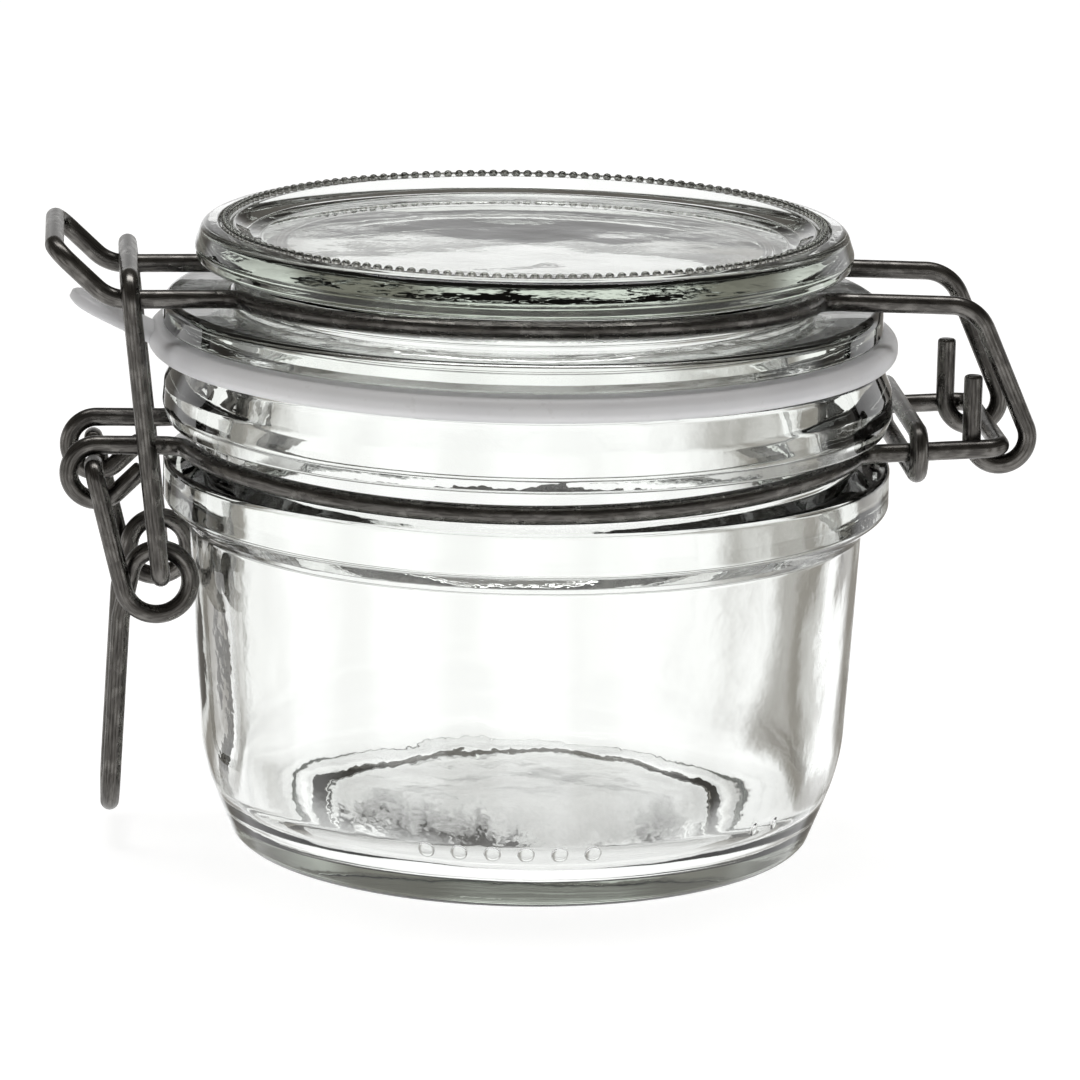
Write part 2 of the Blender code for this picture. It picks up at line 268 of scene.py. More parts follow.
class Tree:
    """A node tree that is built one node at a time."""

    def __init__(self, nodes):
        self.nodes = nodes

    def node(self, kind, settings, sockets, output=0):
        """Adds a node: its settings first, then a value or a link for each named socket."""
        node = self.nodes.nodes.new(kind)
        for key, value in settings.items():
            setattr(node, key, value)
        for key, value in sockets.items():
            self.feed(value, node.inputs[key])
        return Signal(self, node.outputs[output])

    def feed(self, value, socket):
        if isinstance(value, Signal):
            self.nodes.links.new(value.socket, socket)
        else:
            socket.default_value = value

    def smooth(self, value, low, high):
        """0 below low, 1 above high and an easy slope between."""
        settings = {"interpolation_type": "SMOOTHSTEP"}
        return self.node("ShaderNodeMapRange", settings, {"Value": value, "From Min": low, "From Max": high})

    def mixed(self, share, first, second):
        """A colour between two colours."""
        return self.node(
            "ShaderNodeMix",
            {"data_type": "RGBA"},
            {"Factor": share, 6: first, 7: second},
            2,
        )

    def noise(self, place, scale, detail, roughness=0.5):
        sockets = {"Vector": place, "Scale": scale, "Detail": detail, "Roughness": roughness}
        return self.node("ShaderNodeTexNoise", {}, sockets)

    def bump(self, height, strength, distance):
        sockets = {"Strength": strength, "Distance": distance, "Height": height}
        return self.node("ShaderNodeBump", {}, sockets)

    def turned(self, angle):
        """The cosine and the sine of an angle."""
        cosine = self.node("ShaderNodeMath", {"operation": "COSINE"}, {0: angle})
        sine = self.node("ShaderNodeMath", {"operation": "SINE"}, {0: angle})
        return cosine, sine

    def vector(self, x, y, z):
        return self.node("ShaderNodeCombineXYZ", {}, {"X": x, "Y": y, "Z": z})


def new_finish(name):
    """A material with its tree and its main shader."""
    material = bpy.data.materials.new(name)
    material.use_nodes = True
    return material, Tree(material.node_tree), material.node_tree.nodes["Principled BSDF"]


def object_place(tree):
    return tree.node("ShaderNodeTexCoord", {}, {}, "Object")


def glass_finish(colours):
    """Clear pressed glass: a faint roll in its skin, a few smears and a green-grey body colour."""
    material, tree, shader = new_finish("pressed_glass")
    place = object_place(tree)
    roll = tree.noise(place, scale=90.0, detail=1.0)
    skin = tree.noise(place, scale=420.0, detail=2.0)
    bump = tree.bump(roll + skin * 0.12, strength=0.10, distance=0.0012)
    smears = tree.smooth(tree.noise(place, scale=55.0, detail=3.0, roughness=0.6), 0.55, 0.8)
    shader.inputs["Base Color"].default_value = (*colours.glass, 1)
    shader.inputs["Transmission Weight"].default_value = 1.0
    shader.inputs["IOR"].default_value = GLASS_IOR
    tree.feed(smears * 0.03 + 0.004, shader.inputs["Roughness"])
    tree.feed(bump, shader.inputs["Normal"])
    depth = tree.node(
        "ShaderNodeVolumeAbsorption",
        {},
        {"Color": (*colours.glass_depth, 1), "Density": colours.glass_density},
    )
    output = material.node_tree.nodes["Material Output"]
    tree.feed(depth, output.inputs["Volume"])
    return material


def bead_finish(colours):
    """The pressed beads and dots: the same glass, its skin a little frosted and dulled in their seams."""
    material, tree, shader = new_finish("beaded_glass")
    worn = tree.smooth(tree.noise(object_place(tree), scale=130.0, detail=3.0), 0.35, 0.7)
    tree.feed(
        tree.mixed(worn, (*colours.bead_dull, 1), (*colours.bead_clear, 1)),
        shader.inputs["Base Color"],
    )
    tree.feed(0.16 - worn * 0.1, shader.inputs["Roughness"])
    shader.inputs["Transmission Weight"].default_value = 1.0
    shader.inputs["IOR"].default_value = GLASS_IOR
    return material


def rubber_finish(colours):
    """Milky silicone: cloudy inside, satin outside, with a little dust along it."""
    material, tree, shader = new_finish("milky_silicone")
    place = object_place(tree)
    cloud = tree.smooth(tree.noise(place, scale=60.0, detail=3.0), 0.3, 0.7)
    dust = tree.smooth(tree.noise(place, scale=900.0, detail=2.0), 0.62, 0.75)
    colour = tree.mixed(cloud, (*colours.rubber_dark, 1), (*colours.rubber_light, 1))
    tree.feed(tree.mixed(dust * 0.25, colour, DUST_COLOUR), shader.inputs["Base Color"])
    tree.feed(cloud * 0.12 + dust * 0.15 + 0.36, shader.inputs["Roughness"])
    grain = tree.noise(place, scale=1500.0, detail=2.0)
    tree.feed(tree.bump(grain, strength=0.12, distance=0.0002), shader.inputs["Normal"])
    shader.inputs["Subsurface Weight"].default_value = 0.45
    shader.inputs["Subsurface Radius"].default_value = (1.0, 1.0, 1.0)
    shader.inputs["Subsurface Scale"].default_value = 0.003
    return material


def steel_finish(colours):
    """Dark drawn wire: fine lines that run with it, rubbed paler here and there."""
    material, tree, shader = new_finish("drawn_wire")
    along = tree.node("ShaderNodeUVMap", {"uv_map": "wire"}, {})
    split = tree.node("ShaderNodeSeparateXYZ", {}, {"Vector": along})
    length = Signal(tree, split.socket.node.outputs["X"])
    turn = Signal(tree, split.socket.node.outputs["Y"]) * (2 * math.pi)
    cosine, sine = tree.turned(turn)
    drawn_place = tree.vector(cosine, sine, length * 0.08)
    lines = tree.noise(drawn_place, scale=7.0, detail=4.0, roughness=0.65)
    rubbed_place = tree.vector(cosine, sine, length * 0.6)
    rubbed = tree.smooth(tree.noise(rubbed_place, scale=0.9, detail=3.0), 0.45, 0.7)
    streaks = tree.smooth(lines, 0.35, 0.68)
    colour = tree.mixed(streaks, (*colours.steel_dark, 1), (*colours.steel_light, 1))
    tree.feed(tree.mixed(rubbed * 0.5, colour, (*colours.steel_rubbed, 1)), shader.inputs["Base Color"])
    tree.feed(0.25 - rubbed * 0.06 + lines * 0.08, shader.inputs["Roughness"])
    tree.feed(tree.bump(lines, strength=0.09, distance=0.0001), shader.inputs["Normal"])
    shader.inputs["Metallic"].default_value = 1.0
    return material


def arc_steps(radius, turn):
    """How many straight steps keep an arc within CHORD_ERROR of round."""
    return max(4, math.ceil(turn / (2 * math.acos(1 - CHORD_ERROR / radius))))


def bend(before, corner, after, radius):
    """Points of the arc that rounds one corner of a path."""
    arriving = (corner - before).normalized()
    leaving = (after - corner).normalized()
    turn = arriving.angle(leaving)
    start = corner - arriving * radius * math.tan(turn / 2)
    inward = (leaving - arriving).normalized()
    centre = corner + inward * radius / math.cos(turn / 2)
    axis = arriving.cross(leaving).normalized()
    steps = arc_steps(radius, turn)
    return [centre + Quaternion(axis, turn * i / steps) @ (start - centre) for i in range(steps + 1)]


def rounded(corners):
    """A path through corners, each a point with its bend radius, 0 for a plain point."""
    points = [Vector(point) for point, radius in corners]
    path = []
    for i, (point, radius) in enumerate(corners):
        if radius:
            path += bend(points[i - 1], points[i], points[(i + 1) % len(points)], radius)
        else:
            path.append(points[i])
    return path


def arc(centre, radius, start, end, y, end_radius=None, end_y=None):
    """Points round a centre in the XZ plane; radius and y may run evenly to a value at the end."""
    steps = arc_steps(radius, abs(end - start))
    last_radius = radius if end_radius is None else end_radius
    last_y = y if end_y is None else end_y
    points = []
    for i in range(steps + 1):
        share = i / steps
        angle = start + (end - start) * share
        reach = radius + (last_radius - radius) * share
        x = centre[0] + reach * math.cos(angle)
        z = centre[1] + reach * math.sin(angle)
        points.append(Vector((x, y + (last_y - y) * share, z)))
    return points


def half_ring(radius, clip, hinge, rise):
    """The front half of a ring round the glass, as path corners from its clip arm to its hinge arm."""
    first = -math.pi + math.asin(clip[0] / radius)
    last = -math.asin(hinge[0] / radius)
    free = 1.2 * RING_FILLET / radius
    steps = arc_steps(radius, last - first - 2 * free)
    angles = [first + free + (last - first - 2 * free) * i / steps for i in range(steps + 1)]

    def point(angle):
        to_hinge = (1 + math.cos(angle)) / 2
        z = clip[1] + (hinge[1] - clip[1]) * to_hinge + rise * math.sin(angle) ** 2
        return (radius * math.cos(angle), radius * math.sin(angle), z)

    middle = [(point(angle), 0) for angle in angles]
    return [(point(first), RING_FILLET)] + middle + [(point(last), RING_FILLET)]


def mirrored(half, shared_end=True):
    """Joins a half path to its mirror image in Y; their shared middle point is kept once."""
    other = [Vector((p.x, -p.y, p.z)) for p in reversed(half)]
    return half + other[1:] if shared_end else other + half[1:]


def neck_wire_path():
    """From the front eye's free end, round the eye, along the groove and out to the hinge bar."""
    y = FRONT * EYE_ARM_Y
    eye = (EYE_X, NECK_CLIP_Z - EYE_RADIUS)
    quarter = math.pi / 2
    curl = arc(eye, EYE_RADIUS, 3 * quarter + EYE_TAIL_HEADING, quarter, y)
    tail = Vector((math.cos(EYE_TAIL_HEADING), 0, math.sin(EYE_TAIL_HEADING))) * EYE_TAIL
    corners = [(curl[0] + tail, 0)] + [(point, 0) for point in curl]
    clip = (EYE_ARM_Y, NECK_CLIP_Z)
    hinge = (NECK_HINGE_Y, NECK_HINGE_Z)
    corners += half_ring(NECK_RING_RADIUS, clip, hinge, -NECK_SAG)
    corners.append(((HINGE_X, FRONT * NECK_HINGE_Y, HINGE_Z), NECK_HINGE_BEND))
    corners.append(((HINGE_X, 0, HINGE_Z), 0))
    return mirrored(rounded(corners))


def tie_link_path():
    """A long oval round the two neck arms: half a turn over each arm and two straight strands."""
    path = []
    for side in (FRONT, -FRONT):
        for i in range(TIE_STEPS + 1):
            angle = math.pi * (0.5 - i / TIE_STEPS)
            out = math.cos(angle) * TIE_REACH
            z = TIE_Z - side * math.sin(angle) * TIE_REACH
            path.append(Vector((TIE_X, side * (NECK_HINGE_Y + out), z)))
        path.append(Vector((TIE_X, 0, path[-1].z)))
    return path


def lid_wire_path():
    """From the middle of the hook's bar along the front arm, round the lid and down round the hinge."""
    clip_y = FRONT * LID_CLIP_Y
    hinge_y = FRONT * LID_HINGE_Y
    corners = [((HOOK_TIP[0], 0, HOOK_TIP[1]), 0)]
    corners.append(((HOOK_TIP[0], clip_y, HOOK_TIP[1]), HOOK_CORNER))
    corners.append(((HOOK_BEND_X, clip_y, LID_WIRE_Z), HOOK_BEND))
    clip = (LID_CLIP_Y, LID_WIRE_Z)
    hinge = (LID_HINGE_Y, LID_WIRE_Z)
    corners += half_ring(LID_RING_RADIUS, clip, hinge, LID_WIRE_RISE)
    bar = (HINGE_X, HINGE_Z + TURN_LIFT)
    turn = arc(bar, TURN_RADIUS, LEG_HEADING + math.pi / 2, -math.pi, hinge_y)
    leg = Vector((math.cos(LEG_HEADING), 0, math.sin(LEG_HEADING))) * LEG_LENGTH
    corners.append((turn[0] - leg, LID_ARM_BEND))
    corners += [(point, 0) for point in turn]
    corners.append((turn[-1] + Vector((0, 0, STUB_LENGTH)), 0))
    return mirrored(rounded(corners), shared_end=False)


def lever_path():
    """From the front pin down the link, once round the coil and down the handle to its cross bar."""
    outer_y = FRONT * LINK_Y
    inner_y = FRONT * EYE_ARM_Y
    from_pivot = Vector(COIL) - Vector(PIVOT)
    to_kink = Vector(HANDLE_KINK) - Vector(COIL)
    start = math.atan2(from_pivot.y, from_pivot.x) + 1.5 * math.pi
    start -= math.asin(COIL_START_RADIUS / from_pivot.length)
    end = math.atan2(to_kink.y, to_kink.x) + 4 * math.pi
    end -= math.acos(COIL_END_RADIUS / to_kink.length)
    coil = arc(COIL, COIL_START_RADIUS, start, end, outer_y, COIL_END_RADIUS, inner_y)
    corners = [((PIVOT[0], FRONT * PIN_END_Y, PIVOT[1]), 0)]
    corners.append(((PIVOT[0], outer_y, PIVOT[1]), PIN_BEND))
    corners += [(point, 0) for point in coil]
    corners.append(((HANDLE_KINK[0], inner_y, HANDLE_KINK[1]), HANDLE_CORNER))
    corners.append(((HANDLE_LOW[0], inner_y, HANDLE_LOW[1]), HANDLE_CORNER))
    corners.append(((HANDLE_LOW[0], 0, HANDLE_LOW[1]), 0))
    return mirrored(rounded(corners))


def bail_path():
    """From the front pin in its coil up the leg to the middle of the bar that hooks over the lid wire."""
    corners = [
        ((BAIL_PIN[0], FRONT * PIN_END_Y, BAIL_PIN[1]), 0),
        ((BAIL_PIN[0], FRONT * BAIL_LOW_Y, BAIL_PIN[1]), BAIL_LOW_BEND),
        ((BAIL_TOP[0], FRONT * BAIL_TOP_Y, BAIL_TOP[1]), BAIL_TOP_BEND),
        ((BAIL_TOP[0], 0, BAIL_TOP[1]), 0),
    ]
    return mirrored(rounded(corners))


def spread(points, step):
    """Adds points to the long stretches of a profile, close to both ends and evenly between."""
    even = [points[0]]
    for a, b in zip(points, points[1:]):
        length = (b - a).length
        if length > 4 * CORNER_GAP:
            inner = length - 2 * CORNER_GAP
            count = max(1, math.ceil(inner / step))
            for i in range(count + 1):
                even.append(a.lerp(b, (CORNER_GAP + inner * i / count) / length))
        even.append(b)
    return even


def outline(corners, step=PROFILE_STEP):
    """A profile of (radius, height, fillet) corners as evenly spread points in the XZ plane."""
    return spread(rounded([((radius, 0, z), fillet) for radius, z, fillet in corners]), step)


def jar_profile():
    """From the middle of the floor up the bore, over the mouth and down the outside to the foot."""
    return outline([
        (0, FLOOR_Z - 0.4, 0),
        (BORE_RADIUS - 1.9, FLOOR_Z, 5),
        (BORE_RADIUS, BODY_TOP_Z, 60),
        (BORE_RADIUS, MOUTH_Z, 0.8),
        (COLLAR_RADIUS - 1.7, MOUTH_Z, 1.0),
        (COLLAR_RADIUS - 0.2, MOUTH_Z - 3.4, 2),
        (COLLAR_RADIUS, MOUTH_Z - 6.0, 2),
        (COLLAR_RADIUS - 0.7, COLLAR_LOW_Z, 0.5),
        (NECK_RADIUS, COLLAR_LOW_Z, 0.6),
        (NECK_RADIUS, SHOULDER_TOP_Z + 0.6, 0.6),
        (SHOULDER_RADIUS, SHOULDER_TOP_Z, 0.7),
        (SHOULDER_RADIUS, SHOULDER_LOW_Z, 1.2),
        (SHOULDER_RADIUS - 2.3, BODY_TOP_Z + 0.9, 1.0),
        (BODY_TOP_RADIUS, BODY_TOP_Z, 1.0),
        (HEEL_RADIUS, HEEL_Z, 25),
        (FOOT_RADIUS, 0, 2.0),
        (FOOT_RADIUS - 6.2, 0, 0.6),
        (FOOT_RADIUS - 8.6, PUSH_UP, 1.2),
        (0, PUSH_UP, 0),
    ], JAR_PROFILE_STEP)


def lid_profile():
    """From the middle of the recess over the rim, down past the flange and up into the hollow below."""
    return outline([
        (0, RECESS_Z - 0.3, 0),
        (RECESS_RADIUS - 1.4, RECESS_Z, 1.5),
        (RECESS_RADIUS, RECESS_Z + 0.4, 1.0),
        (BEAD_RING_RADIUS - 0.9, RIM_TOP_Z - 0.1, 0.4),
        (BEAD_RING_RADIUS - 0.6, BEAD_SEAT_Z, 0.1),
        (BEAD_RING_RADIUS + 0.6, BEAD_SEAT_Z, 0.1),
        (BEAD_RING_RADIUS + 0.9, RIM_TOP_Z, 0.2),
        (RIM_RADIUS - 0.9, RIM_TOP_Z - 0.2, 1.3),
        (RIM_RADIUS, RIM_LOW_Z + 1.7, 1.5),
        (RIM_RADIUS - 0.4, RIM_LOW_Z, 0.9),
        (LID_NECK_RADIUS, RIM_LOW_Z, 0.8),
        (LID_NECK_RADIUS, FLANGE_TOP_Z, 0.8),
        (FLANGE_RADIUS - 0.1, FLANGE_TOP_Z, 1.1),
        (FLANGE_RADIUS, LID_LOW_Z, 0.4),
        (PLUG_RADIUS, LID_LOW_Z, 0.5),
        (PLUG_RADIUS, LID_LOW_Z - PLUG_DEPTH, 0.5),
        (LID_CAVITY_RADIUS, LID_LOW_Z - PLUG_DEPTH, 0.5),
        (LID_CAVITY_RADIUS - 1.2, LID_CAVITY_Z, 2.0),
        (0, LID_CAVITY_Z + 0.6, 0),
    ])


def gasket_profile():
    """A flat ring section with its outer edge rounded over."""
    low = MOUTH_Z + CLEAR
    high = low + GASKET_THICK
    corners = [
        (GASKET_BORE, low, 0.3),
        (GASKET_BORE, high, 0.3),
        (GASKET_RADIUS, high, 1.2),
        (GASKET_RADIUS, low, 1.2),
    ]
    points = rounded([((radius, 0, z), fillet) for radius, z, fillet in corners])
    return spread(points + [points[0]], PROFILE_STEP)[:-1]


def wall_radius(z):
    """The jar's outer radius at a height."""
    radii = []
    points = jar_profile()
    for first, after in zip(points, points[1:]):
        if min(first.z, after.z) <= z < max(first.z, after.z):
            radii.append(first.x + (after.x - first.x) * (z - first.z) / (after.z - first.z))
    return max(radii)


def ease(value, low, high):
    """0 below low, 1 above high and an easy slope between."""
    share = min(1, max(0, (value - low) / (high - low)))
    return share * share * (3 - 2 * share)


def pressed_wave(point, depth):
    """How far the bore and the floor of pressed glass stray from true, in millimetres."""
    wide = noise.noise(point * WIDE_ROLL + Vector(WIDE_SHIFT))
    tall_point = Vector((point.x * TALL_ROLL, point.y * TALL_ROLL, point.z * TALL_ROLL_UP))
    tall = noise.noise(tall_point + Vector(TALL_SHIFT))
    return depth * (wide + TALL_SHARE * tall)


def bore_wave(radius, z, depth):
    """The roll of the jar's inner side: strongest halfway up and none at the mouth or the floor's middle."""
    on_bore = ease(radius, BORE_RADIUS - 6, BORE_RADIUS - 3) * ease(z, FLOOR_Z, FLOOR_Z + 4)
    below_mouth = 1 - ease(z, MOUTH_Z - 8, MOUTH_Z - 2)
    return depth * on_bore * below_mouth


def turned_mesh(name, profile, steps, closed=False, wave=None):
    """A body of revolution from a profile, closed at its poles; wave pushes points in or out."""
    shape = bmesh.new()
    rows = []
    for i in range(steps):
        angle = 2 * math.pi * i / steps
        row = []
        for point in profile:
            place = Vector((point.x * math.cos(angle), point.x * math.sin(angle), point.z))
            if wave and point.x > 1:
                place = wave(point, place)
            row.append(shape.verts.new(place))
        rows.append(row)
    spans = len(profile) if closed else len(profile) - 1
    for i, row in enumerate(rows):
        after = rows[(i + 1) % steps]
        for j in range(spans):
            k = (j + 1) % len(profile)
            shape.faces.new((row[j], row[k], after[k], after[j]))
    bmesh.ops.remove_doubles(shape, verts=shape.verts, dist=MERGE_GAP)
    return finished_mesh(name, shape)


def finished_mesh(name, shape):
    """A smooth mesh with its faces pointing outwards."""
    bmesh.ops.recalc_face_normals(shape, faces=shape.faces)
    for face in shape.faces:
        face.smooth = True
    mesh = bpy.data.meshes.new(name)
    shape.to_mesh(mesh)
    shape.free()
    return mesh


def wire_rings(path, radius, closed):
    """Centre and size of each ring along a wire, with its cut ends dressed round."""
    if closed:
        return [(point, 1.0) for point in path]
    ends = []
    for point, beyond in ((path[0], path[1]), (path[-1], path[-2])):
        inward = (beyond - point).normalized()
        ends.append([(point + inward * back * radius, size) for back, size in WIRE_END])
    return list(reversed(ends[0])) + [(point, 1.0) for point in path[1:-1]] + ends[1]


def ring_frames(rings, closed):
    """Two directions across the wire at each ring, carried along it so that they never spin."""
    centres = [centre for centre, size in rings]
    last = len(centres) - 1
    frames = []
    side = None
    for i in range(len(centres)):
        before = centres[i - 1] if i or closed else centres[0]
        after = centres[(i + 1) % len(centres)] if i < last or closed else centres[last]
        forward = (after - before).normalized()
        if side is None:
            side = forward.orthogonal().normalized()
        side = (side - forward * side.dot(forward)).normalized()
        frames.append((side, forward.cross(side)))
    return frames


def wire_mesh(name, path, radius, sides, closed=False):
    """A round wire along a path, with a UV map that runs with its length and turns with its girth."""
    rings = wire_rings(path, radius, closed)
    frames = ring_frames(rings, closed)
    shape = bmesh.new()
    uv_layer = shape.loops.layers.uv.new("wire")
    rows = []
    runs = [0.0]
    for i, ((centre, size), (side, up)) in enumerate(zip(rings, frames)):
        row = []
        for k in range(sides):
            angle = 2 * math.pi * k / sides
            outward = side * math.cos(angle) + up * math.sin(angle)
            row.append(shape.verts.new(centre + outward * radius * size))
        rows.append(row)
        follower = rings[(i + 1) % len(rings)][0]
        runs.append(runs[-1] + (follower - centre).length / radius)
    for i in range(len(rows) if closed else len(rows) - 1):
        row, after = rows[i], rows[(i + 1) % len(rows)]
        for k in range(sides):
            n = (k + 1) % sides
            face = shape.faces.new((row[k], row[n], after[n], after[k]))
            places = ((i, k), (i, k + 1), (i + 1, k + 1), (i + 1, k))
            for loop, (ring, column) in zip(face.loops, places):
                loop[uv_layer].uv = (runs[ring], column / sides)
    if not closed:
        shape.faces.new(rows[0])
        shape.faces.new(rows[-1])
    return finished_mesh(name, shape)


def tab_mesh(name):
    """The pull tab: a tongue that leaves the ring level towards the clip, then bends up to a round end."""
    middle_z = MOUTH_Z + CLEAR + GASKET_THICK / 2
    round_from = TAB_REACH - TAB_HALF_WIDTH
    stations = [(TAB_BEND_RADIUS - TAB_ROOT + TAB_STEP * i, 1.0, 1.0) for i in range(TAB_STEPS)]
    for i in range(TAB_END_STEPS):
        turn = TAB_END_TURN * i
        thin = 1 - TAB_END_THINNING * math.sin(turn) ** 6
        stations.append((round_from + TAB_HALF_WIDTH * math.sin(turn), math.cos(turn), thin))
    shape = bmesh.new()
    loops = []
    for reach, narrow, thin in stations:
        past = reach - TAB_BEND_RADIUS
        slope = TAB_SLOPE * ease(past, -TAB_EASE, TAB_EASE)
        run = past if past > TAB_EASE else max(0, past + TAB_EASE) ** 2 / (4 * TAB_EASE)
        middle = Vector((-reach, 0, middle_z + math.tan(TAB_SLOPE) * run))
        up = Vector((math.sin(slope), 0, math.cos(slope))) * TAB_HALF_THICK * thin
        out = Vector((0, TAB_HALF_WIDTH * narrow, 0))
        loop = []
        for k in range(TAB_ROUND):
            angle = 2 * math.pi * k / TAB_ROUND
            across = math.copysign(abs(math.cos(angle)) ** 0.35, math.cos(angle))
            above = math.copysign(abs(math.sin(angle)) ** 0.5, math.sin(angle))
            loop.append(shape.verts.new(middle + out * across + up * above))
        loops.append(loop)
    for near, far in zip(loops, loops[1:]):
        for k in range(TAB_ROUND):
            n = (k + 1) % TAB_ROUND
            shape.faces.new((near[k], near[n], far[n], far[k]))
    shape.faces.new(loops[0])
    shape.faces.new(loops[-1])
    return finished_mesh(name, shape)


def set_piece(name, mesh, material, body, nodes=(), offset=0.0):
    """Turns a mesh in millimetres into a piece of the object, standing where the solids stand."""
    mesh.transform(Matrix.Scale(MM, 4) @ Matrix.Translation((AXIS_X + offset, 0, 0)))
    piece = bpy.data.objects.new(name, mesh)
    bpy.context.scene.collection.objects.link(piece)
    if not mesh.materials:
        mesh.materials.append(material)
    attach(piece, body)
    if nodes:
        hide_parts(*nodes)
    return piece


def finish_of(name, make):
    """The material of that name, made on first use."""
    return bpy.data.materials.get(name) or make(colours())


def bead_tree():
    """Geometry nodes that set beads of glass along an arc, each turned to face away from its middle."""
    group = bpy.data.node_groups.new("beads_on_arc", "GeometryNodeTree")
    group.interface.new_socket("Geometry", in_out="OUTPUT", socket_type="NodeSocketGeometry")
    for label in ("Count", "Segments", "Rings"):
        group.interface.new_socket(label, in_out="INPUT", socket_type="NodeSocketInt")
    for label in ("Arc Radius", "Height", "Start Angle", "Step Angle", "Lean", "Depth", "Width", "Rise"):
        group.interface.new_socket(label, in_out="INPUT", socket_type="NodeSocketFloat")
    group.interface.new_socket("Finish", in_out="INPUT", socket_type="NodeSocketMaterial")
    tree = Tree(group)
    given = group.nodes.new("NodeGroupInput").outputs
    value = {socket.name: Signal(tree, socket) for socket in given if socket.name}
    index = tree.node("GeometryNodeInputIndex", {}, {})
    angle = value["Start Angle"] + index * value["Step Angle"]
    cosine, sine = tree.turned(angle)
    radius = value["Arc Radius"]
    place = tree.vector(cosine * radius, sine * radius, value["Height"])
    line = tree.node("GeometryNodeMeshLine", {}, {"Count": value["Count"]})
    points = tree.node("GeometryNodeSetPosition", {}, {"Geometry": line, "Position": place})
    bead = tree.node(
        "GeometryNodeMeshUVSphere",
        {},
        {"Segments": value["Segments"], "Rings": value["Rings"], "Radius": 0.5},
    )
    size = tree.vector(value["Depth"], value["Width"], value["Rise"])
    turn = tree.vector(0, value["Lean"], angle)
    beads = tree.node(
        "GeometryNodeInstanceOnPoints",
        {},
        {"Points": points, "Instance": bead, "Rotation": turn, "Scale": size},
    )
    real = tree.node("GeometryNodeRealizeInstances", {}, {"Geometry": beads})
    smooth = tree.node("GeometryNodeSetShadeSmooth", {}, {"Geometry": real})
    dressed = tree.node("GeometryNodeSetMaterial", {}, {"Geometry": smooth, "Material": value["Finish"]})
    tree.feed(dressed, group.nodes.new("NodeGroupOutput").inputs["Geometry"])
    return group


def beads_mesh(name, values):
    """The plain mesh that the bead tree makes from its named inputs."""
    group = bpy.data.node_groups.get("beads_on_arc") or bead_tree()
    host = bpy.data.objects.new(name, bpy.data.meshes.new(name))
    bpy.context.scene.collection.objects.link(host)
    modifier = host.modifiers.new("beads", "NODES")
    modifier.node_group = group
    for item in group.interface.items_tree:
        if item.in_out == "INPUT":
            modifier[item.identifier] = values[item.name]
    graph = bpy.context.evaluated_depsgraph_get()
    mesh = bpy.data.meshes.new_from_object(host.evaluated_get(graph), depsgraph=graph)
    mesh.name = name
    mesh.materials.clear()
    mesh.materials.append(values["Finish"])
    mesh.polygons.foreach_set("material_index", [0] * len(mesh.polygons))
    bpy.data.objects.remove(host)
    return mesh


class ClipJarSizes(bpy.types.PropertyGroup):
    """Sizes that can change without moving the solids."""

    wire: bpy.props.FloatProperty(
        name="Wire",
        description="Thickness of the wire",
        default=2.2 * MM,
        subtype="DISTANCE",
        unit="LENGTH",
    )
    wire_sides: bpy.props.IntProperty(
        name="Wire Sides",
        description="Faces round the wire",
        default=20,
        min=8,
    )
    glass_steps: bpy.props.IntProperty(
        name="Glass Steps",
        description="Faces round the jar and the lid",
        default=288,
        min=60,
    )
    wave_depth: bpy.props.FloatProperty(
        name="Wall Roll",
        description="How far the inner side of the pressed glass strays from true",
        default=0.28 * MM,
        subtype="DISTANCE",
        unit="LENGTH",
    )
    bead_count: bpy.props.IntProperty(
        name="Beads",
        description="Glass beads round the lid's rim",
        default=156,
        min=12,
    )
    bead_width: bpy.props.FloatProperty(
        name="Bead Width",
        description="Width of one bead",
        default=1.12 * MM,
        subtype="DISTANCE",
        unit="LENGTH",
    )


